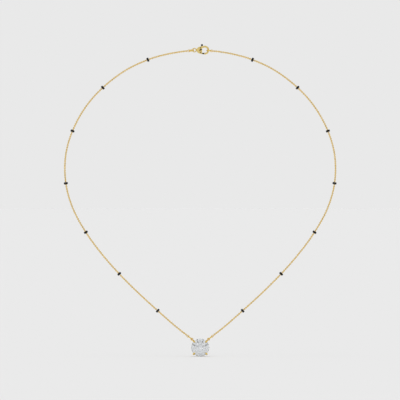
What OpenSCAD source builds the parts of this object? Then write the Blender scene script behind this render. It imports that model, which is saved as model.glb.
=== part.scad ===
// Station necklace: two strands of fine gold cable chain carry short black beads at even
// stations. A round brilliant in a four-prong basket hangs at the bottom, and a lobster clasp
// closes the loop on top. The loop stands in the XZ plane as it does on a neck: front towards
// -Y, +Z up, with the origin in the clasp, where the necklace sits on the nape.

/* [Chain] */
// Width of the cable chain over its links
chain_d = 0.95; // [0.7:0.05:1.2]
// Wire of the round end link on each end of a strand
end_wire = 0.3; // [0.25:0.05:0.4]
// Play around a jump ring's wire in an end link or a soldered loop
link_play = 0.1; // [0.08:0.01:0.15]

/* [Beads] */
// Beads on each strand
beads_per_side = 7; // [5:1:9]
// Diameter of a bead
bead_d = 2.2; // [1.9:0.1:2.8]
// Length of a bead along the chain
bead_w = 1.15; // [0.8:0.05:1.6]
// Rounding of a bead's rim
bead_rim = 0.28; // [0.15:0.01:0.35]
// Radial gap between a bead's bore and the chain
bead_gap = 0.08; // [0.05:0.01:0.12]

/* [Jump rings] */
// Wire of the four jump rings
ring_wire = 0.55; // [0.4:0.05:0.7]
// Gap between a jump ring and the clasp metal that it pulls on
ring_gap = 0.06; // [0.04:0.01:0.1]
// Room left inside a jump ring beside the hook and the end link
ring_room = 0.45; // [0.3:0.05:0.8]
// How far the jump ring in the clasp's eye leans over, from edge-on to the front
ring_lean = 13; // [0:1:15]

/* [Clasp] */
// Height of the clasp's centre line above the origin
clasp_z = 0.45; // [0:0.1:1]
// How far the clasp's middle lies to the right of the loop's middle
clasp_shift = 0.25; // [-0.5:0.05:0.5]
// Length of the clasp from the eye's end to the hook's end
clasp_l = 9.2; // [8.8:0.1:11]
// Outer diameter of the hook
hook_d = 4.8; // [4.5:0.1:5.4]
// Round section of the hook
hook_wire = 1; // [0.9:0.05:1.2]
// Outer diameter of the eye
eye_d = 2.5; // [2.4:0.1:3]
// Round section of the eye
eye_wire = 0.55; // [0.5:0.05:0.7]
// Height of the body where it rounds off towards the eye
shoulder_d = 3.6; // [3:0.1:4]
// Thickness of the body at the pivot
body_t = 2.2; // [2:0.1:2.8]
// Thickness of each of the two cheeks beside the lever
cheek_t = 0.65; // [0.5:0.05:0.75]
// How far the pivot lies below the clasp's centre line
pivot_drop = 0.7; // [0.5:0.05:0.8]
// Diameter of the pivot pin
pin_d = 0.6; // [0.5:0.05:0.7]
// Radial gap of the pin in the cheeks, which hold it
pin_gap = 0.02; // [0.01:0.01:0.04]
// Height of the long notch in each cheek, at its mouth
notch_h = 0.8; // [0.4:0.05:0.9]
// Length of the long notch in each cheek
notch_l = 1.8; // [1.4:0.1:2]

/* [Clasp lever] */
// Diameter of the lever's hub on the pin
hub_d = 1.2; // [1.1:0.05:1.3]
// Radius of the lever's fan-shaped web, which shows through the notches
web_r = 1.25; // [0.9:0.05:1.3]
// How far the gate's upper edge lies below the clasp's centre line
gate_drop = 1.45; // [1.3:0.05:1.6]
// Width of the arm that carries the thumb knob
arm_w = 0.65; // [0.5:0.05:0.75]
// Diameter of the thumb knob
knob_d = 1.1; // [0.8:0.1:1.2]
// Height of the knob's middle above the clasp's centre line
knob_rise = 2.7; // [2.6:0.05:3.2]
// Radial running gap of the lever on the pin
pivot_gap = 0.04; // [0.02:0.01:0.08]
// Gap between the lever and each cheek, and between the closed gate and the hook
lever_gap = 0.06; // [0.04:0.01:0.1]
// Angle that the lever turns to open the gate
lever_swing = 28; // [15:1:30]

/* [Stone] */
// Height of the stone's middle below the origin
stone_drop = 158.8; // [150:0.1:170]
// Diameter of the round brilliant
stone_d = 9.6; // [8:0.1:11]
// Width of the table between opposite corners, as a share of the stone
table_share = 0.57; // [0.53:0.01:0.62]
// Slope of the bezel facets from the girdle plane
crown_angle = 34.5; // [32:0.5:36]
// Slope of the pavilion mains from the girdle plane
pavilion_angle = 40.8; // [40:0.1:42]
// Thickness of the girdle at the corners of its facets
girdle_t = 0.3; // [0.25:0.05:0.5]
// Turn of the stone about its own axis, from where a bezel facet lies under each claw
stone_roll = 22.5; // [0:0.5:22.5]

/* [Setting] */
// Diameter of the four prongs
prong_d = 1.1; // [0.9:0.1:1.4]
// How far the prongs' middle line lies outside the girdle
prong_out = 0.1; // [0:0.05:0.3]
// How far the claws rise over the girdle plane, to the middle of the tip
claw_rise = 0.9; // [0.7:0.1:1.2]
// How far the claws lean in over the crown
claw_lean = 0.35; // [0.2:0.05:0.5]
// Gap between the stone and its seat, measured outwards
seat_gap = 0.08; // [0.05:0.01:0.15]
// Depth of the basket behind the girdle, to the middle of its base rail
basket_h = 4.6; // [4.4:0.1:5.5]
// Diameter of the base rail, at its middle line
base_d = 4.6; // [3.6:0.1:5.4]
// Depth of the gallery rail behind the girdle
gallery_h = 2.1; // [1.8:0.1:2.6]
// Wire of the two rails
rail_wire = 0.7; // [0.5:0.05:0.9]
// Wire of the soldered loops on the upper prongs
loop_wire = 0.4; // [0.3:0.05:0.5]
// Length of the neck between a prong and its loop
loop_neck = 0.12; // [0.1:0.02:0.4]
// Depth of the loops behind the girdle, level with the pendant's centre of mass
loop_back = 1.15; // [1:0.05:1.6]

/* [Hidden] */
$fn = 64;
tube_sides = 8;
prong_sides = 10;
rings_per_station = 5;
line_steps = 10;
prong_steps = 4;
// A surface that would only graze its neighbour is held this far off it
step = 0.05;
// Cuts run this far past what they cut
past = 1;

// Right-hand strand from the clasp down to the pendant, as [x, z]; the left one mirrors it
ROUTE = [
    [11, -0.5], [19, -2], [28, -4.7], [40, -10.4], [52, -19.5], [61.4, -30.1], [68.4, -42.9],
    [72.1, -56.5], [71.9, -71.1], [68, -84.7], [61, -97.4], [52.7, -108.7], [43.3, -119.4],
    [33, -129.7], [22.6, -139.2], [13.5, -147.2],
];

// Stone and basket, seen along the stone's own axis, front up
stone_r = stone_d / 2;
girdle = girdle_t / 2;
table_r = table_share * stone_r;
table_z = girdle + (stone_r - table_r) * tan(crown_angle);
eighth = 45;
half = eighth / 2;
star_share = 0.5;
lower_share = 0.77;
star_r = table_r * cos(half) + star_share * (stone_r - table_r * cos(half));
star_z = girdle + (stone_r - star_r * cos(half)) * tan(crown_angle);
lower_r = stone_r * (1 - lower_share);
lower_z = -girdle - (stone_r - lower_r * cos(half)) * tan(pavilion_angle);
// Slopes of the edges between two half facets, the steepest lines down to the girdle
crown_edge = atan2(star_z - girdle, stone_r - star_r);
pavilion_edge = atan2(-girdle - lower_z, stone_r - lower_r);
prong_r = stone_r + prong_out;
base_r = base_d / 2;
ring_hole = ring_gap + hook_wire + link_play + end_wire + ring_room;
ring_r = (ring_hole + ring_wire) / 2;
end_r = ring_wire / 2 + link_play + end_wire / 2;
loop_r = ring_wire / 2 + link_play + loop_wire / 2;
loop_reach = prong_r + prong_d / 2 + loop_neck + loop_wire / 2 + loop_r;
loop_at = loop_reach * [cos(45), sin(45)];

// Clasp, seen from the front as [x, z]
hook_at = [clasp_shift + (clasp_l - hook_d) / 2, clasp_z];
eye_at = [clasp_shift - (clasp_l - eye_d) / 2, clasp_z];
hook_r = (hook_d - hook_wire) / 2;
hook_hole = hook_d / 2 - hook_wire;
eye_r = (eye_d - eye_wire) / 2;
eye_hole = eye_d / 2 - eye_wire;
eye_sink = 0.1;
shoulder_at = [eye_at.x + eye_d / 2 - eye_sink + shoulder_d / 2, clasp_z];
mouth_x = hook_at.x - hook_hole;
pivot_wall = 0.15;
pivot_at = [mouth_x - pivot_wall - hub_d / 2, clasp_z - pivot_drop];
knob_back = 0.1;
knob_at = [mouth_x - knob_back, clasp_z + knob_rise];
hook_root = 115;
mouth_angle = -98;
gate_room = 20;
web_from = 45;
web_to = 165;
gate_reach = norm(hook_at + hook_r * turn(mouth_angle) - pivot_at);
slot_w = body_t - 2 * cheek_t;
lever_t = slot_w - 2 * lever_gap;
arm_angle = atan2(knob_at.y - pivot_at.y, knob_at.x - pivot_at.x);
open_lean = arm_angle + lever_swing - 90;
slot_room = 0.25;
slot_back = pivot_at.x - slot_room
    - max(web_r, (shoulder_d / 2 + pivot_drop) * tan(open_lean) + arm_w / 2 / cos(open_lean));
slot_front = mouth_x + 4 * step;
cheek_top = 0.5;
cheek_end = [mouth_x, clasp_z - cheek_top];

function bead_name(i) = str("bead_", i < 10 ? "0" : "", i);

gold = "#d8b56a";

function turn(a) = [cos(a), sin(a)];
function unit(v) = v / norm(v);
function mirrored(points, side) = [for (p = points) [side * p.x, p.y]];

// The four jump rings, each as [middle of the wire at its near end, direction it pulls in]
function pull_from(centre, reach, towards) =
    let (way = unit(towards - centre)) [centre + reach * way, way];
function clasp_ring(side) = side > 0
    ? pull_from(hook_at, hook_hole - ring_gap - ring_wire / 2, ROUTE[0])
    : pull_from(eye_at, eye_hole - ring_gap - ring_wire / 2, mirrored(ROUTE, -1)[0]);
function pendant_ring(side) =
    pull_from([side * loop_at.x, loop_at.y - stone_drop], 0, mirrored(ROUTE, side)[len(ROUTE) - 1]);
function far_end(ring) = ring[0] + 2 * ring_r * ring[1];

// A smooth line through all points, and what is measured along it
function spline_at(a, b, c, d, t) =
    b + t * (c - a) / 2 + t * t * (a - 2.5 * b + 2 * c - d / 2)
    + t * t * t * (1.5 * (b - c) + (d - a) / 2);
function smooth(p, steps) =
    let (n = len(p) - 1, q = concat([2 * p[0] - p[1]], p, [2 * p[n] - p[n - 1]]))
    [for (i = [1:n]) for (k = [0:steps - (i < n ? 1 : 0)])
        spline_at(q[i - 1], q[i], q[i + 1], q[i + 2], k / steps)];
function travel(p) = [for (i = 0, s = 0; i < len(p);
    s = s + (i + 1 < len(p) ? norm(p[i + 1] - p[i]) : 0), i = i + 1) s];
function along(p, s, at) = [
    lookup(at, [for (i = [0:len(p) - 1]) [s[i], p[i].x]]),
    lookup(at, [for (i = [0:len(p) - 1]) [s[i], p[i].y]])
];
function tangent(p, i) = unit(p[min(i + 1, len(p) - 1)] - p[max(i - 1, 0)]);

// A strand from end link to end link: its line, lengths along it, and its even bead stations
function strand_line(side) = smooth(concat(
    [far_end(clasp_ring(side)) + end_r * clasp_ring(side)[1]],
    mirrored(ROUTE, side),
    [far_end(pendant_ring(side)) + end_r * pendant_ring(side)[1]]), line_steps);
function strand_pitch(side) =
    let (line = strand_line(side), s = travel(line))
    (abs(line[0].x) + s[len(s) - 1] + end_r + 2 * ring_r + stone_r) / (beads_per_side + 1);
function strand_rings(side) =
    let (line = strand_line(side), s = travel(line), whole = s[len(s) - 1])
    let (hop = strand_pitch(side) / rings_per_station)
    concat(
        [line[0]],
        [for (at = [-abs(line[0].x):hop:whole - 2 * chain_d]) if (at > 2 * chain_d) along(line, s, at)],
        [line[len(line) - 1]]);

// A round bar swept along a flat path in XY, with a radius for each of the path's points
module swept_bar(path, radii, sides) {
    last = len(path) - 1;
    points = [for (i = [0:last], j = [0:sides - 1])
        let (way = tangent(path, i), a = (j + 0.5) * 360 / sides, r = radii[i])
        [path[i].x - way.y * r * cos(a), path[i].y + way.x * r * cos(a), r * sin(a)]];
    walls = [for (i = [0:last - 1], j = [0:sides - 1])
        let (a = i * sides + j, b = i * sides + (j + 1) % sides) [a, a + sides, b + sides, b]];
    ends = [[for (j = [0:sides - 1]) j], [for (j = [sides - 1:-1:0]) last * sides + j]];
    polyhedron(points = points, faces = concat(walls, ends), convexity = 6);
}

// A flat outline, drawn as [x, z], given its thickness about the XZ plane
module upright(thickness) {
    rotate([90, 0, 0])
        linear_extrude(height = thickness, center = true)
            children();
}

// A round wire bent to a ring that faces the front, over the angles from..to
module front_ring(at, r, wire, from = 0, to = 360) {
    translate([at.x, 0, at.y])
        rotate([90, 0, 0])
            rotate([0, 0, from])
                rotate_extrude(angle = to - from)
                    translate([r, 0])
                        circle(d = wire);
}

module strand(side) {
    path = strand_rings(side);
    color(gold) {
        rotate([90, 0, 0])
            swept_bar(path, [for (p = path) chain_d / 2], tube_sides);
        for (ring = [clasp_ring(side), pendant_ring(side)])
            front_ring(far_end(ring), end_r, end_wire);
    }
}

// A jump ring stands in the plane of its pull and the Y axis, or leans over from it
module jump_ring(ring, lean = 0) {
    middle = ring[0] + ring_r * ring[1];
    color(gold)
        translate([middle.x, 0, middle.y])
            rotate([0, -atan2(ring[1].y, ring[1].x), 0])
                rotate([lean, 0, 0])
                    rotate_extrude()
                        translate([ring_r, 0])
                            circle(d = ring_wire);
}

// Half of a bead's section, as [distance from its axis, height]: flat ends and a rounded rim
module bead_section() {
    bore = chain_d / 2 + bead_gap;
    corner = [bead_d / 2 - bead_rim, bead_w / 2 - bead_rim];
    rim = [for (a = [0:15:90]) corner + bead_rim * turn(a)];
    last = len(rim) - 1;
    polygon(concat(
        [[bore, bead_w / 2], [bore, -bead_w / 2]],
        [for (i = [last:-1:0]) [rim[i].x, -rim[i].y]],
        rim));
}

// A short black bead, drilled for the chain
module bead(side, station) {
    line = strand_line(side);
    s = travel(line);
    at = station * strand_pitch(side) - abs(line[0].x);
    centre = along(line, s, at);
    way = unit(along(line, s, at + bead_w / 2) - along(line, s, at - bead_w / 2));
    color("#141414")
        translate([centre.x, 0, centre.y])
            rotate([0, 90 - atan2(way.y, way.x), 0])
                rotate_extrude()
                    bead_section();
}

// Egg outline around the hook and the shoulder, with straight flanks that meet both
module claw_outline(inset = 0) {
    big = hook_d / 2 - step - inset;
    small = shoulder_d / 2 - inset;
    lean = asin((big - small) / (hook_at.x - shoulder_at.x));
    flank = turn(90 + lean);
    flip = [flank.x, -flank.y];
    translate(hook_at)
        circle(r = big);
    translate(shoulder_at)
        circle(r = small);
    polygon([hook_at + big * flank, shoulder_at + small * flank,
        shoulder_at + small * flip, hook_at + big * flip]);
}

// The body seen from above: thin at the eye, swelling to the pivot, thin again at the hook
module waist_outline() {
    tail = shoulder_at.x - shoulder_d / 2 - step;
    tail_half = eye_wire / 2 + 3 * step;
    nose_l = 0.5;
    nose = slot_front + nose_l;
    nose_half = hook_wire / 2 + step;
    full = body_t / 2;
    swell_steps = 5;
    swell = [for (t = [-1:1 / swell_steps:1])
        [pivot_at.x + abs(t) * ((t < 0 ? tail : nose) - pivot_at.x),
            full - t * t * (full - (t < 0 ? tail_half : nose_half))]];
    last = len(swell) - 1;
    polygon(concat(swell, [for (i = [last:-1:0]) [swell[i].x, -swell[i].y]]));
}

// The long notch that runs from the hook's hole down and back between spine and lower cheek
module notch_outline() {
    rise = 0.2;
    fall = 20;
    taper = 0.65;
    mouth = [mouth_x + 3 * step, clasp_z + rise];
    tip = mouth - notch_l * turn(fall);
    into_hole = [hook_hole / 2, 0];
    polygon([tip, mouth, mouth + into_hole, mouth + into_hole + [0, notch_h],
        mouth + [0, notch_h], tip + [0, taper * notch_h]]);
}

module clasp_body() {
    color(gold)
        difference() {
            union() {
                difference() {
                    intersection() {
                        upright(body_t + past)
                            claw_outline();
                        translate([0, 0, clasp_z - hook_d])
                            linear_extrude(height = 2 * hook_d)
                                waist_outline();
                    }
                    upright(body_t + 2 * past)
                        translate(hook_at)
                            circle(r = hook_hole + step);
                    translate([cheek_end.x, -body_t, cheek_end.y - hook_d])
                        cube([hook_d, 2 * body_t, hook_d]);
                    upright(body_t + 2 * past)
                        notch_outline();
                }
                difference() {
                    front_ring(hook_at, hook_r, hook_wire, mouth_angle - gate_room, hook_root);
                    upright(hook_wire + past)
                        intersection() {
                            translate(pivot_at)
                                circle(r = gate_reach + lever_gap);
                            translate([pivot_at.x, clasp_z - hook_d])
                                square([hook_d, hook_d]);
                        }
                }
                front_ring(eye_at, eye_r, eye_wire);
            }
            translate([slot_back, -slot_w / 2, clasp_z - hook_d])
                cube([slot_front - slot_back, slot_w, 2 * hook_d]);
            translate([pivot_at.x, 0, pivot_at.y])
                rotate([90, 0, 0])
                    cylinder(d = pin_d + 2 * pin_gap, h = body_t + past, center = true);
        }
}

// A flat wedge about the origin, wider than the clasp, over the angles from..to
module wedge(from, to) {
    fan_step = 15;
    polygon([[0, 0], for (a = [from:fan_step:to]) 2 * hook_d * turn(a)]);
}

// The gate closes the hook from inside, and the arm carries the knob out through the spine
module lever_outline() {
    side_way = turn(90 + arm_angle);
    leg_x = pivot_at.x - hub_d / 2;
    gate_z = clasp_z - gate_drop;
    intersection() {
        translate(pivot_at)
            circle(r = gate_reach);
        claw_outline(step);
        union() {
            translate([leg_x, gate_z - hook_d])
                square([hook_d, hook_d]);
            translate([leg_x, gate_z - step])
                square([hub_d, pivot_at.y - gate_z + step]);
        }
    }
    translate(pivot_at) {
        circle(d = hub_d);
        intersection() {
            circle(r = web_r);
            wedge(web_from, web_to);
        }
    }
    polygon([pivot_at + arm_w / 2 * side_way, pivot_at - arm_w / 2 * side_way,
        knob_at - arm_w / 2 * side_way, knob_at + arm_w / 2 * side_way]);
    translate(knob_at)
        circle(d = knob_d);
}

module clasp_lever() {
    color(gold)
        difference() {
            upright(lever_t)
                lever_outline();
            translate([pivot_at.x, 0, pivot_at.y])
                rotate([90, 0, 0])
                    cylinder(d = pin_d + 2 * pivot_gap, h = body_t, center = true);
        }
}

module clasp_pin() {
    color(gold)
        translate([pivot_at.x, 0, pivot_at.y])
            rotate([90, 0, 0])
                cylinder(d = pin_d, h = body_t, center = true);
}

// Puts the stone's own axis, drawn along +Z, into its place in the pendant, facing the front
module pendant_place() {
    translate([0, -loop_back, -stone_drop])
        rotate([90, 0, 0])
            children();
}

// A brilliant cut in a frame whose +Z is the stone's front, its girdle at z = 0
module brilliant() {
    arc_steps = 4;
    rim = 16 * arc_steps;
    culet_z = -girdle - stone_r * tan(pavilion_angle);

    // Height over x, y of the facet that joins a star or lower corner to two girdle corners
    function facet_z(q, spot, corner_r, corner_z, rim_z) =
        let (a = [each corner_r * turn(half + eighth * floor(q / 2)), corner_z])
        let (b = [each stone_r * turn(half * q), rim_z])
        let (c = [each stone_r * turn(half * (q + 1)), rim_z])
        let (n = cross(b - a, c - a))
        a.z - (n.x * (spot.x - a.x) + n.y * (spot.y - a.y)) / n.z;
    function rim_line(corner_r, corner_z, rim_z) = [for (j = [0:rim - 1])
        let (spot = stone_r * turn(j * 360 / rim), q = floor(j / arc_steps))
        [spot.x, spot.y, j % arc_steps == 0 ? rim_z : facet_z(q, spot, corner_r, corner_z, rim_z)]];

    points = concat(
        [for (k = [0:7]) [each table_r * turn(k * eighth), table_z]],
        [for (k = [0:7]) [each star_r * turn(k * eighth + half), star_z]],
        rim_line(star_r, star_z, girdle),
        rim_line(lower_r, lower_z, -girdle),
        [for (k = [0:7]) [each lower_r * turn(k * eighth + half), lower_z]],
        [[0, 0, culet_z]]);
    star = 8;
    upper = 16;
    lower = upper + rim;
    pavilion = lower + rim;
    culet = pavilion + 8;
    table = [[for (k = [7:-1:0]) k]];
    stars = [for (k = [0:7]) [k, (k + 1) % 8, star + k]];
    bezels = [for (k = [0:7]) [k, star + k, upper + 2 * arc_steps * k, star + (k + 7) % 8]];
    upper_halves = [for (q = [0:15])
        [star + floor(q / 2), for (j = [arc_steps:-1:0]) upper + (q * arc_steps + j) % rim]];
    rim_band = [for (j = [0:rim - 1])
        [upper + j, upper + (j + 1) % rim, lower + (j + 1) % rim, lower + j]];
    lower_halves = [for (q = [0:15])
        [pavilion + floor(q / 2), for (j = [0:arc_steps]) lower + (q * arc_steps + j) % rim]];
    mains = [for (k = [0:7])
        [culet, pavilion + (k + 7) % 8, lower + 2 * arc_steps * k, pavilion + k]];
    polyhedron(points = points, convexity = 2,
        faces = concat(table, stars, bezels, upper_halves, rim_band, lower_halves, mains));
}

module stone() {
    color("#e4ecf0")
        pendant_place()
            rotate([0, 0, stone_roll])
                brilliant();
}

// One prong as [distance from the stone's axis, height over the girdle], from base to claw tip
module prong() {
    leg = [
        [base_r, -basket_h],
        [(base_r + prong_r) / 2, -(basket_h + girdle) / 2],
        [prong_r - step, -girdle - prong_d / 2],
        [prong_r, girdle],
        [prong_r - claw_lean, claw_rise],
    ];
    line = smooth(leg, prong_steps);
    last = len(line) - 1;
    tip = tangent(line, last);
    dome = [for (a = [20:20:80]) [line[last] + prong_d / 2 * sin(a) * tip, prong_d / 2 * cos(a)]];
    rotate([90, 0, 0])
        swept_bar(concat(line, [for (d = dome) d[0]]),
            concat([for (p = line) prong_d / 2], [for (d = dome) d[1]]), prong_sides);
}

// The room that the stone and its gap need inside the prongs, open to the front
module seat() {
    mouth_r = stone_r + seat_gap;
    front = claw_rise + prong_d;
    rotate_extrude()
        polygon([
            [0, -girdle - mouth_r * tan(pavilion_edge)], [mouth_r, -girdle], [mouth_r, girdle],
            [mouth_r - (front - girdle) / tan(crown_edge), front], [0, front],
        ]);
}

module rail(r, depth) {
    translate([0, 0, -depth])
        rotate_extrude()
            translate([r, 0])
                circle(d = rail_wire);
}

// A front-facing loop on an upper prong, joined to it by a short neck
module soldered_loop() {
    neck_d = 0.7;
    neck_from = prong_r - prong_d / 4;
    translate([0, 0, -loop_back]) {
        translate([neck_from, 0, 0])
            rotate([0, 90, 0])
                cylinder(d = neck_d, h = loop_reach - loop_r - neck_from);
        translate([loop_reach, 0, 0])
            rotate_extrude()
                translate([loop_r, 0])
                    circle(d = loop_wire);
    }
}

module setting() {
    gallery_r = prong_r + (base_r - prong_r) * gallery_h / basket_h;
    color(gold)
        pendant_place() {
            difference() {
                for (a = [45:90:315])
                    rotate([0, 0, a])
                        prong();
                seat();
            }
            rail(base_r, basket_h);
            rail(gallery_r, gallery_h);
            for (a = [45, 135])
                rotate([0, 0, a])
                    soldered_loop();
        }
}

strand(-1);  // chain_left
strand(1);  // chain_right
jump_ring(clasp_ring(-1), ring_lean);  // ring_clasp_left
jump_ring(clasp_ring(1));  // ring_clasp_right
jump_ring(pendant_ring(-1));  // ring_pendant_left
jump_ring(pendant_ring(1));  // ring_pendant_right
clasp_body();
clasp_lever();
clasp_pin();
setting();
stone();
for (i = [1:beads_per_side]) {
    bead(-1, i);
    bead(1, i);
}
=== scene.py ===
import random
from bisect import bisect_right
from itertools import accumulate
from math import ceil, cos, pi, radians, sin

import bmesh
import bpy
from mathutils import Matrix, Vector
from mathutils.geometry import interpolate_bezier


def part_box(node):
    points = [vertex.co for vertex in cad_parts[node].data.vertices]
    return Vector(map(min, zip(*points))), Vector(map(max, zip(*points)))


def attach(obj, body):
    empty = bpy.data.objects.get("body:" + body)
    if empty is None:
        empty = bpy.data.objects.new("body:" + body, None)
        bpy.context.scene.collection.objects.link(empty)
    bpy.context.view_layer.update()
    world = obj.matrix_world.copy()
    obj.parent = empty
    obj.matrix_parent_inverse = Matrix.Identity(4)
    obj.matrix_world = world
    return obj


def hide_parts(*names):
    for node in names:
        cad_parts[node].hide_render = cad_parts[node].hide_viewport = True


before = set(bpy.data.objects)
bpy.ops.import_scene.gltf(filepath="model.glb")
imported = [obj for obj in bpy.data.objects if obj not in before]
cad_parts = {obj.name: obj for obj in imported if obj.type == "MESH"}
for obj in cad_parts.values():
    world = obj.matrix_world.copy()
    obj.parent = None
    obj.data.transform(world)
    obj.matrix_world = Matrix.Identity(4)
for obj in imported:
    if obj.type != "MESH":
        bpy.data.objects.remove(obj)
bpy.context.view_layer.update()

# ------------------------------------------------------------------ chain
# Two strands of fine cable chain: oval wire links, each turned a quarter about its neighbour and
# soldered shut. A larger oval link on each end is stretched by its jump ring. All yellow gold.

# Everything is drawn in millimetres, as on the bench, and made metres when it is put in place
mm = 0.001
to_back = Vector((0, 1, 0))

# Right strand from the clasp down to the pendant, x and z; the left strand mirrors it
chain_route = [
    (11, -0.5), (19, -2), (28, -4.7), (40, -10.4), (52, -19.5), (61.4, -30.1), (68.4, -42.9),
    (72.1, -56.5), (71.9, -71.1), (68, -84.7), (61, -97.4), (52.7, -108.7), (43.3, -119.4),
    (33, -129.7), (22.6, -139.2), (13.5, -147.2),
]
# Where clasp and pendant hold the four jump rings, and the rings' own measures
hook_middle = Vector((2.45, 0, 0.45))
hook_hole = 1.4
eye_middle = Vector((-3.1, 0, 0.45))
eye_hole = 0.7
loop_middle = Vector((4.487, 0, -154.313))
jump_wire = 0.55
jump_r = 1.23
jump_gap = 0.06


def put_in_place(bm, name, finish, body, slot, *nodes):
    """Closes a bench model into a piece that rides on a body and stands for the CAD nodes"""
    bmesh.ops.scale(bm, vec=(mm, mm, mm), verts=bm.verts)
    bmesh.ops.recalc_face_normals(bm, faces=bm.faces)
    for face in bm.faces:
        face.smooth = True
    mesh = bpy.data.meshes.new(name)
    bm.to_mesh(mesh)
    bm.free()
    mesh.materials.append(finish)
    piece = bpy.data.objects.new(name, mesh)
    bpy.context.scene.collection.objects.link(piece)
    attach(piece, body)
    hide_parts(*nodes)
    return piece


# Each lay of scratches is turned its own way, its noise drawn out along the surface and squeezed
# across it to hairlines, and only the noise's peaks between the two levels cut in
scratch_lays = ((0.67, 0, -0.88), (1.04, 0, 0.65))
hairline = (3, 0.1, 3)
scratch_from = 0.68
scratch_full = 0.8
scratch_strength = 0.35
smudge_from = 0.35
smudge_full = 0.7


def handling_wear():
    """What wearing does to any polished surface: soft smudges, and hairline scratches two ways"""
    group = bpy.data.node_groups.new("handling wear", "ShaderNodeTree")
    for name, way in (("Smudge Scale", "INPUT"), ("Scratch Scale", "INPUT"),
                      ("Smudges", "OUTPUT"), ("Scratches", "OUTPUT")):
        group.interface.new_socket(name=name, in_out=way, socket_type="NodeSocketFloat")
    node, link = group.nodes.new, group.links.new
    given, out = node("NodeGroupInput"), node("NodeGroupOutput")
    place = node("ShaderNodeTexCoord")

    smudge = node("ShaderNodeTexNoise")
    smudge.inputs["Detail"].default_value = 3
    smudge.inputs["Roughness"].default_value = 0.6
    link(place.outputs["Object"], smudge.inputs["Vector"])
    link(given.outputs["Smudge Scale"], smudge.inputs["Scale"])
    link(smudge.outputs["Fac"], out.inputs["Smudges"])

    lines = []
    for turn in scratch_lays:
        lay = node("ShaderNodeMapping")
        lay.vector_type = "TEXTURE"
        lay.inputs["Rotation"].default_value = turn
        lay.inputs["Scale"].default_value = hairline
        hair = node("ShaderNodeTexNoise")
        hair.inputs["Detail"].default_value = 2
        thin = node("ShaderNodeMapRange")
        thin.inputs["From Min"].default_value = scratch_from
        thin.inputs["From Max"].default_value = scratch_full
        link(place.outputs["Object"], lay.inputs["Vector"])
        link(lay.outputs["Vector"], hair.inputs["Vector"])
        link(given.outputs["Scratch Scale"], hair.inputs["Scale"])
        link(hair.outputs["Fac"], thin.inputs["Value"])
        lines.append(thin.outputs["Result"])
    both = node("ShaderNodeMath")
    both.operation = "MAXIMUM"
    link(lines[0], both.inputs[0])
    link(lines[1], both.inputs[1])
    link(both.outputs["Value"], out.inputs["Scratches"])
    return group


wear = handling_wear()


def worn_finish(name, smudge_scale, scratch_scale, clean, dull, pale, deep, scratch_depth):
    """A polished material: smudges move its roughness and shade, and scratches cut its gloss"""
    finish = bpy.data.materials.new(name)
    finish.use_nodes = True
    tree = finish.node_tree
    skin = tree.nodes["Principled BSDF"]
    marks = tree.nodes.new("ShaderNodeGroup")
    marks.node_tree = wear
    marks.inputs["Smudge Scale"].default_value = smudge_scale
    marks.inputs["Scratch Scale"].default_value = scratch_scale

    gloss = tree.nodes.new("ShaderNodeMapRange")
    gloss.inputs["From Min"].default_value = smudge_from
    gloss.inputs["From Max"].default_value = smudge_full
    gloss.inputs["To Min"].default_value = clean
    gloss.inputs["To Max"].default_value = dull
    tree.links.new(marks.outputs["Smudges"], gloss.inputs["Value"])
    tree.links.new(gloss.outputs["Result"], skin.inputs["Roughness"])

    shade = tree.nodes.new("ShaderNodeMix")
    shade.data_type = "RGBA"
    shade.inputs["A"].default_value = (*pale, 1)
    shade.inputs["B"].default_value = (*deep, 1)
    tree.links.new(marks.outputs["Smudges"], shade.inputs["Factor"])
    tree.links.new(shade.outputs["Result"], skin.inputs["Base Color"])

    cut = tree.nodes.new("ShaderNodeBump")
    cut.invert = True
    cut.inputs["Strength"].default_value = scratch_strength
    cut.inputs["Distance"].default_value = scratch_depth
    tree.links.new(marks.outputs["Scratches"], cut.inputs["Height"])
    tree.links.new(cut.outputs["Normal"], skin.inputs["Normal"])
    return finish


def yellow_gold(name, clean=0.08, dull=0.2, scratch_depth=4e-6, pale=(0.91, 0.66, 0.17),
                deep=(0.81, 0.56, 0.11)):
    """Polished gold with the wear of its place on the necklace"""
    gold = worn_finish(name, smudge_scale=700, scratch_scale=2600, clean=clean, dull=dull,
                       pale=pale, deep=deep, scratch_depth=scratch_depth)
    gold.node_tree.nodes["Principled BSDF"].inputs["Metallic"].default_value = 1
    return gold


def wire_oval(name, wire, across, length, bends, sides):
    """A closed oval of round wire in the XZ plane, long way up: a ring, its halves drawn apart"""
    bm = bmesh.new()
    half_bend = Matrix.Rotation(pi / bends, 4, "Y")
    at_rim = Matrix.Translation(((across - wire) / 2, 0, 0))
    section = bmesh.ops.create_circle(bm, segments=sides, radius=wire / 2, matrix=half_bend @ at_rim)
    verts = section["verts"]
    edges = list({edge for vert in verts for edge in vert.link_edges})
    bmesh.ops.spin(bm, geom=verts + edges, cent=(0, 0, 0), axis=(0, 1, 0), angle=2 * pi,
                   steps=bends, use_merge=True)
    for way in (1, -1):
        bmesh.ops.translate(bm, vec=(0, 0, way * (length - across) / 2),
                            verts=[vert for vert in bm.verts if way * vert.co.z > 0])
    oval = bpy.data.meshes.new(name)
    bm.to_mesh(oval)
    bm.free()
    return oval


def pull_from(centre, reach, towards):
    """Middle of a jump ring's wire where it pulls on a wall, and the direction that it pulls in"""
    way = (towards - centre).normalized()
    return centre + reach * way, way


def on_side(side, point):
    """A point of the right half, given as x and z, on the right (1) or the left side (-1)"""
    return Vector((side * point[0], 0, point[-1]))


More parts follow.
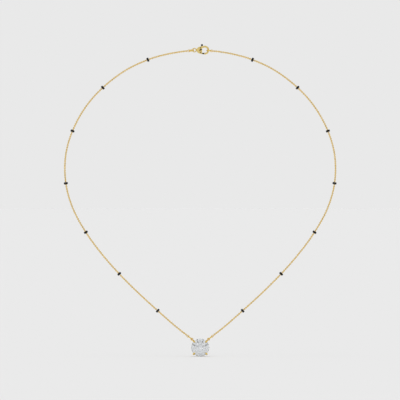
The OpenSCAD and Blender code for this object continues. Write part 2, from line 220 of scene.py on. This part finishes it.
jump_rings = {
    ("clasp", 1): pull_from(hook_middle, hook_hole - jump_gap - jump_wire / 2,
                            on_side(1, chain_route[0])),
    ("clasp", -1): pull_from(eye_middle, eye_hole - jump_gap - jump_wire / 2,
                             on_side(-1, chain_route[0])),
}
for side in (1, -1):
    jump_rings["pendant", side] = pull_from(on_side(side, loop_middle), 0,
                                            on_side(side, chain_route[-1]))


class Strand:
    """The middle line of one strand between its end links, and places along it"""

    # The handles that lead a Bezier line smoothly through a knot are a sixth of the way from the
    # knot before it to the knot after it
    handle_part = 6
    bends = 10

    def __init__(self, side, end_r):
        ends = [start + (2 * jump_r + end_r) * way
                for start, way in (jump_rings["clasp", side], jump_rings["pendant", side])]
        knots = [ends[0], *(on_side(side, point) for point in chain_route), ends[1]]
        ahead = [2 * knots[0] - knots[1], *knots, 2 * knots[-1] - knots[-2]]
        self.line = [knots[0]]
        for a, b, c, d in zip(ahead, ahead[1:], ahead[2:], ahead[3:]):
            self.line += interpolate_bezier(b, b + (c - a) / self.handle_part,
                                            c - (d - b) / self.handle_part, c, self.bends + 1)[1:]
        steps = [(b - a).length for a, b in zip(self.line, self.line[1:])]
        self.travel = [0, *accumulate(steps)]
        self.whole = self.travel[-1]

    def place(self, at, roll=0):
        """Puts a piece drawn about the Z axis on the line, rolled about it by the angle"""
        i = min(max(bisect_right(self.travel, at) - 1, 0), len(self.line) - 2)
        a, b = self.line[i], self.line[i + 1]
        way = (b - a).normalized()
        spot = a + (at - self.travel[i]) * way
        across = to_back.cross(way)
        turn = Matrix((across, to_back, way)).transposed().to_4x4()
        return Matrix.Translation(spot) @ turn @ Matrix.Rotation(roll, 4, "Z")


# A link, the slack between two links, and how far a link may hang askew
link_wire = 0.3
link_w = 1.0
link_l = 1.22
link_slack = 0.003
link_jitter = radians(7)
link_seed = 11
# The link on each end, from the middle of its wire, and how far it is stretched
end_wire = 0.3
end_r = 0.525
end_stretch = 0.32

chain_gold = yellow_gold("chain gold", clean=0.12, dull=0.26)
strands = {side: Strand(side, end_r) for side in (1, -1)}
dice = random.Random(link_seed)

link_blank = wire_oval("link blank", link_wire, link_w, link_l, bends=12, sides=6)
end_w = 2 * end_r + end_wire
end_blank = wire_oval("end link blank", end_wire, end_w, end_w + end_stretch, bends=24, sides=10)


def add_blank(bm, blank, where):
    """Adds a copy of the blank, moved to its place"""
    bm.from_mesh(blank)
    bmesh.ops.transform(bm, matrix=where, verts=list(bm.verts)[-len(blank.vertices):])


for side, word in ((-1, "left"), (1, "right")):
    strand, bm = strands[side], bmesh.new()
    # The first link hangs in the stretched end of the end link, and the last one likewise
    first = end_stretch - (end_wire + link_wire) / 2 + (link_l - link_wire) / 2
    run = strand.whole - 2 * first
    count = ceil(run / (link_l - 2 * link_wire - link_slack))
    count += count % 2
    for i in range(count + 1):
        roll = pi / 2 * (i + 1) + (link_jitter * dice.uniform(-1, 1) if 0 < i < count else 0)
        add_blank(bm, link_blank, strand.place(first + i * run / count, roll))
    middle = end_stretch / 2 - end_r
    add_blank(bm, end_blank, strand.place(middle))
    add_blank(bm, end_blank, strand.place(strand.whole - middle))
    put_in_place(bm, "cable_links_" + word, chain_gold, "necklace", "gold", "chain_" + word)

for blank in (link_blank, end_blank):
    bpy.data.meshes.remove(blank)

# ------------------------------------------------------------------ black beads
# Short cylinders of black glass, cut from rod, with rounded rims and a drilled bore. The chain
# runs through them, seven on each side at even stations.
beads_per_side = 7
bead_r = 1.1
bead_half = 0.575
bead_rim = 0.28
bead_bore_r = 0.555
bore_lip = 0.09
# The lip's arc stops short of the flat end, which begins at 90 degrees
lip_end = 95
lip_steps = 3
rim_steps = 5

bead_black = worn_finish("black glass", smudge_scale=500, scratch_scale=1800, clean=0.05, dull=0.2,
                         pale=(0.003, 0.003, 0.003), deep=(0.007, 0.006, 0.006), scratch_depth=2e-6)
bead_black.node_tree.nodes["Principled BSDF"].inputs["Specular IOR Level"].default_value = 0.25


def turned_section(points, steps):
    """A closed outline, drawn as distance from the Z axis and height, turned once about it"""
    bm = bmesh.new()
    verts = [bm.verts.new((r, 0, z)) for r, z in points]
    edges = [bm.edges.new(pair) for pair in zip(verts, verts[1:] + verts[:1])]
    bmesh.ops.spin(bm, geom=verts + edges, cent=(0, 0, 0), axis=(0, 0, 1), angle=2 * pi,
                   steps=steps, use_merge=True)
    return bm


def arc(r, z, radius, start, end, steps):
    """Points of an arc about r, z, from the start to the end angle in degrees"""
    turns = [radians(start + (end - start) * i / steps) for i in range(steps + 1)]
    return [(r + radius * cos(a), z + radius * sin(a)) for a in turns]


bead_outline = [
    *arc(bead_bore_r + bore_lip, bead_half - bore_lip, bore_lip, 180, lip_end, lip_steps),
    *arc(bead_r - bead_rim, bead_half - bead_rim, bead_rim, 90, 0, rim_steps),
    *arc(bead_r - bead_rim, bead_rim - bead_half, bead_rim, 0, -90, rim_steps),
    *arc(bead_bore_r + bore_lip, bore_lip - bead_half, bore_lip, -lip_end, -180, lip_steps),
]
for number in range(1, 2 * beads_per_side + 1):
    node = f"bead_{number:02d}"
    low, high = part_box(node)
    middle = (low + high) / 2 / mm
    strand = strands[-1 if number <= beads_per_side else 1]
    nearest = min(range(len(strand.line)), key=lambda i: (strand.line[i] - middle).length)
    bm = turned_section(bead_outline, steps=40)
    bmesh.ops.transform(bm, matrix=strand.place(strand.travel[nearest]).to_3x3().to_4x4(),
                        verts=bm.verts)
    bmesh.ops.translate(bm, vec=middle, verts=bm.verts)
    put_in_place(bm, f"black_{node}", bead_black, "necklace", "black_bead", node)

# ------------------------------------------------------------------ jump rings
# Four rings of half-hard gold wire, cut and bent shut. They stand edge-on to the front, the one in
# the clasp's eye a little askew, and each holds a strand's end link.
seam = radians(0.8)
eye_ring_lean = radians(13)
ring_gold = yellow_gold("ring gold")


def cut_ring(bm, wire, radius, steps, sides):
    """A round wire bent shut in the YZ plane, with its saw cut at the back"""
    section = bmesh.ops.create_circle(bm, cap_ends=True, segments=sides, radius=wire / 2,
                                      matrix=Matrix.Translation((0, radius, 0)))
    face = section["verts"][0].link_faces[0]
    bmesh.ops.rotate(bm, cent=(0, 0, 0), matrix=Matrix.Rotation(seam / 2, 3, "X"),
                     verts=section["verts"])
    bmesh.ops.spin(bm, geom=[face, *face.edges, *face.verts], cent=(0, 0, 0), axis=(1, 0, 0),
                   angle=2 * pi - seam, steps=steps)


for (end, side), (start, way) in jump_rings.items():
    word = "right" if side > 0 else "left"
    bm = bmesh.new()
    cut_ring(bm, jump_wire, jump_r, steps=44, sides=14)
    across = to_back.cross(way)
    turn = Matrix((across, to_back, way)).transposed().to_4x4()
    lean = Matrix.Rotation(eye_ring_lean if (end, side) == ("clasp", -1) else 0, 4, "Z")
    bmesh.ops.transform(bm, matrix=Matrix.Translation(start + jump_r * way) @ turn @ lean,
                        verts=bm.verts)
    put_in_place(bm, f"jump_ring_{end}_{word}", ring_gold, "necklace", "gold",
                 f"ring_{end}_{word}")

# ------------------------------------------------------------------ clasp
# A lobster clasp in an alloy paler than the wire: the body with its eye and hook, cast and
# tumbled, which leaves its edges soft, and the lever on a pin riveted through the cheeks.
clasp_alloy = {"pale": (0.86, 0.68, 0.27), "deep": (0.76, 0.57, 0.2)}
satin_gold = yellow_gold("satin gold", clean=0.14, dull=0.3, **clasp_alloy)
mirror_gold = yellow_gold("mirror gold", clean=0.02, dull=0.06, scratch_depth=4e-7,
                          **clasp_alloy)
# A face looks to the front or back when its normal's Y reaches this
facing = 0.99
# Corners nearer than this are one
weld = 0.001


def tumbled(node, name, finish, body, grain, rounds):
    """A cast piece after tumbling: the CAD node's form in an even skin with softened edges"""
    bm = bmesh.new()
    bm.from_mesh(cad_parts[node].data)
    bmesh.ops.remove_doubles(bm, verts=bm.verts, dist=weld * mm)
    mesh = bpy.data.meshes.new(name + "_casting")
    bm.to_mesh(mesh)
    bm.free()
    casting = bpy.data.objects.new(name + "_casting", mesh)
    bpy.context.scene.collection.objects.link(casting)
    skin = casting.modifiers.new("even skin", "REMESH")
    skin.mode = "VOXEL"
    skin.voxel_size = grain * mm
    skin.use_smooth_shade = True
    rub = casting.modifiers.new("tumbling", "SMOOTH")
    rub.factor = 0.5
    rub.iterations = rounds
    made = bpy.data.meshes.new_from_object(
        casting.evaluated_get(bpy.context.evaluated_depsgraph_get()))
    bpy.data.objects.remove(casting)
    bpy.data.meshes.remove(mesh)
    made.name = name
    made.materials.clear()
    made.materials.append(finish)
    piece = bpy.data.objects.new(name, made)
    bpy.context.scene.collection.objects.link(piece)
    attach(piece, body)
    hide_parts(node)
    return piece


tumbled("clasp_body", "lobster_body", satin_gold, "necklace", grain=0.05, rounds=10)

# The lever is sawn from plate: flat polished faces whose rims are broken with a file
filed_rim = 0.02
same_face = radians(1)
sharp_corner = radians(40)
bm = bmesh.new()
bm.from_mesh(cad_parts["clasp_lever"].data)
bmesh.ops.scale(bm, vec=(1 / mm, 1 / mm, 1 / mm), verts=bm.verts)
bmesh.ops.remove_doubles(bm, verts=bm.verts, dist=weld)
bmesh.ops.dissolve_limit(bm, angle_limit=same_face, verts=bm.verts, edges=bm.edges)
rims = [edge for edge in bm.edges
        if len({abs(face.normal.y) > facing for face in edge.link_faces}) == 2]
bmesh.ops.bevel(bm, geom=rims, offset=filed_rim, affect="EDGES", segments=2, profile=0.5,
                material=-1)
lever = put_in_place(bm, "lobster_lever", mirror_gold, "lever", "gold", "clasp_lever")
lever.data.set_sharp_from_angle(angle=sharp_corner)
for face in lever.data.polygons:
    face.use_smooth = abs(face.normal.y) < facing

# The pin is riveted: its ends, the only faces with many corners, are hammered round
pin_r = 0.3
pin_half = 1.1
pin_rounding = 0.12
pin_at = Vector((0.3, 0, -0.25))
bm = bmesh.new()
bmesh.ops.create_cone(bm, cap_ends=True, segments=28, radius1=pin_r, radius2=pin_r,
                      depth=2 * pin_half, matrix=Matrix.Translation(pin_at) @
                      Matrix.Rotation(pi / 2, 4, "X"))
rims = [edge for edge in bm.edges if any(len(face.verts) > 4 for face in edge.link_faces)]
bmesh.ops.bevel(bm, geom=rims, offset=pin_rounding, affect="EDGES", segments=4, profile=0.5,
                material=-1)
put_in_place(bm, "lobster_rivet", satin_gold, "necklace", "gold", "clasp_pin")

# ------------------------------------------------------------------ setting
# Four-prong basket, cast with its two rails and its two loops in one piece. The prongs are
# notched for the girdle, and their claws are bent over the crown and rounded.
setting_gold = yellow_gold("setting gold", clean=0.06, dull=0.16)
tumbled("setting", "basket_setting", setting_gold, "pendant", grain=0.07, rounds=6)

# ------------------------------------------------------------------ stone
# Round brilliant, colourless, with flat polished facets that meet in sharp edges. It sits in the
# prongs' notches, its table to the front.
stone_finish = bpy.data.materials.new("brilliant")
stone_finish.use_nodes = True
tree = stone_finish.node_tree
skin = tree.nodes["Principled BSDF"]
skin.inputs["Transmission Weight"].default_value = 1
skin.inputs["IOR"].default_value = 2.42
place = tree.nodes.new("ShaderNodeTexCoord")
# The base colour is a faint cool cast with painted shade: a fine noise darkens it in patches,
# standing in for the light and dark that the facets reflect. The same noise gives a faint haze of
# roughness.
mottle = tree.nodes.new("ShaderNodeTexNoise")
mottle.inputs["Scale"].default_value = 420
mottle.inputs["Detail"].default_value = 4
cast_and_painted_shade = tree.nodes.new("ShaderNodeMix")
cast_and_painted_shade.data_type = "RGBA"
cast_and_painted_shade.inputs["A"].default_value = (0.91, 0.93, 0.95, 1)
cast_and_painted_shade.inputs["B"].default_value = (0.79, 0.83, 0.87, 1)
haze = tree.nodes.new("ShaderNodeMapRange")
haze.inputs["From Min"].default_value = 0.45
haze.inputs["From Max"].default_value = 0.8
haze.inputs["To Min"].default_value = 0
haze.inputs["To Max"].default_value = 0.04
tree.links.new(place.outputs["Object"], mottle.inputs["Vector"])
tree.links.new(mottle.outputs["Fac"], cast_and_painted_shade.inputs["Factor"])
tree.links.new(cast_and_painted_shade.outputs["Result"], skin.inputs["Base Color"])
tree.links.new(mottle.outputs["Fac"], haze.inputs["Value"])
tree.links.new(haze.outputs["Result"], skin.inputs["Roughness"])
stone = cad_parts["stone"]
for material_slot in stone.material_slots:
    material_slot.material = stone_finish

# ------------------------------------------------------------------ studio
# A pale floor just under the pendant, a soft grey-white tent, a large soft light from above, and
# a long lens square to the loop, as the photograph was taken.
photo_middle = Vector((-0.1, 0, -79.8))
photo_width = 214.2
lens = 600
sensor = 36
backdrop = 0.815
floor_albedo = 0.68
floor_drop = 0.02
floor_half = 60
# Shade of the tent by direction: the lens opening at the front, the card at the back, then upwards
room_depth = [(-1, 0.02), (-0.99, 0.03), (-0.96, 0.88), (-0.8, 1.0), (0, 0.9), (0.35, 0.5),
              (0.85, 0.4), (0.95, 0.8), (1, 0.8)]
room_height = [(-1, 0.8), (0, 0.85), (0.5, 0.95), (1, 1.05)]
# The key light comes from above, leaning a little towards the front
key_power = 1.5
key_size = radians(18)
key_lean = radians(14)
key_turn = radians(-20)


def grey(shade):
    """A colour with no hue"""
    return shade, shade, shade, 1


scene = bpy.context.scene
scene.view_settings.view_transform = "Standard"

camera_data = bpy.data.cameras.new("photo lens")
camera_data.lens = lens
camera_data.sensor_width = sensor
camera_data.clip_end = 100
camera = bpy.data.objects.new("photo lens", camera_data)
scene.collection.objects.link(camera)
away = photo_width * lens / sensor
camera.location = (photo_middle - away * to_back) * mm
camera.rotation_euler = (pi / 2, 0, 0)
scene.camera = camera

bm = bmesh.new()
bmesh.ops.create_grid(bm, x_segments=1, y_segments=1, size=floor_half)
floor_mesh = bpy.data.meshes.new("floor")
bm.to_mesh(floor_mesh)
bm.free()
floor = bpy.data.objects.new("floor", floor_mesh)
floor.location = (0, 0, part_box("stone")[0].z - floor_drop * mm)
scene.collection.objects.link(floor)
floor_finish = bpy.data.materials.new("pale floor")
floor_finish.use_nodes = True
skin = floor_finish.node_tree.nodes["Principled BSDF"]
skin.inputs["Base Color"].default_value = grey(floor_albedo)
skin.inputs["Roughness"].default_value = 1
skin.inputs["Specular IOR Level"].default_value = 0
floor_mesh.materials.append(floor_finish)

room = bpy.data.worlds.new("soft room")
scene.world = room
room.use_nodes = True
tree = room.node_tree
tree.nodes.clear()
out = tree.nodes.new("ShaderNodeOutputWorld")
either = tree.nodes.new("ShaderNodeMixShader")
seen = tree.nodes.new("ShaderNodeLightPath")
wall = tree.nodes.new("ShaderNodeBackground")
wall.inputs["Color"].default_value = grey(backdrop)
lit = tree.nodes.new("ShaderNodeBackground")
place = tree.nodes.new("ShaderNodeTexCoord")
split = tree.nodes.new("ShaderNodeSeparateXYZ")


def shade_along(axis, steps):
    """Brightness of the room by how far a direction leans to the axis, from -1 to 1"""
    lean = tree.nodes.new("ShaderNodeMapRange")
    lean.inputs["From Min"].default_value = -1
    shades = tree.nodes.new("ShaderNodeValToRGB")
    ramp = shades.color_ramp
    (_, lowest), *between, (_, highest) = steps
    ramp.elements[0].color, ramp.elements[1].color = grey(lowest), grey(highest)
    for at, shade in between:
        ramp.elements.new((at + 1) / 2).color = grey(shade)
    tree.links.new(split.outputs[axis], lean.inputs["Value"])
    tree.links.new(lean.outputs["Result"], shades.inputs["Fac"])
    return shades.outputs["Color"]


tree.links.new(place.outputs["Generated"], split.inputs["Vector"])
both = tree.nodes.new("ShaderNodeMix")
both.data_type = "RGBA"
both.blend_type = "MULTIPLY"
both.inputs["Factor"].default_value = 1
tree.links.new(shade_along("Y", room_depth), both.inputs["A"])
tree.links.new(shade_along("Z", room_height), both.inputs["B"])
tree.links.new(both.outputs["Result"], lit.inputs["Color"])
tree.links.new(seen.outputs["Is Camera Ray"], either.inputs["Fac"])
tree.links.new(lit.outputs["Background"], either.inputs[1])
tree.links.new(wall.outputs["Background"], either.inputs[2])
tree.links.new(either.outputs["Shader"], out.inputs["Surface"])

key_data = bpy.data.lights.new("soft key", "SUN")
key_data.energy = key_power
key_data.angle = key_size
key = bpy.data.objects.new("soft key", key_data)
key.rotation_euler = (key_lean, 0, key_turn)
key.visible_glossy = False
key.visible_transmission = False
scene.collection.objects.link(key)
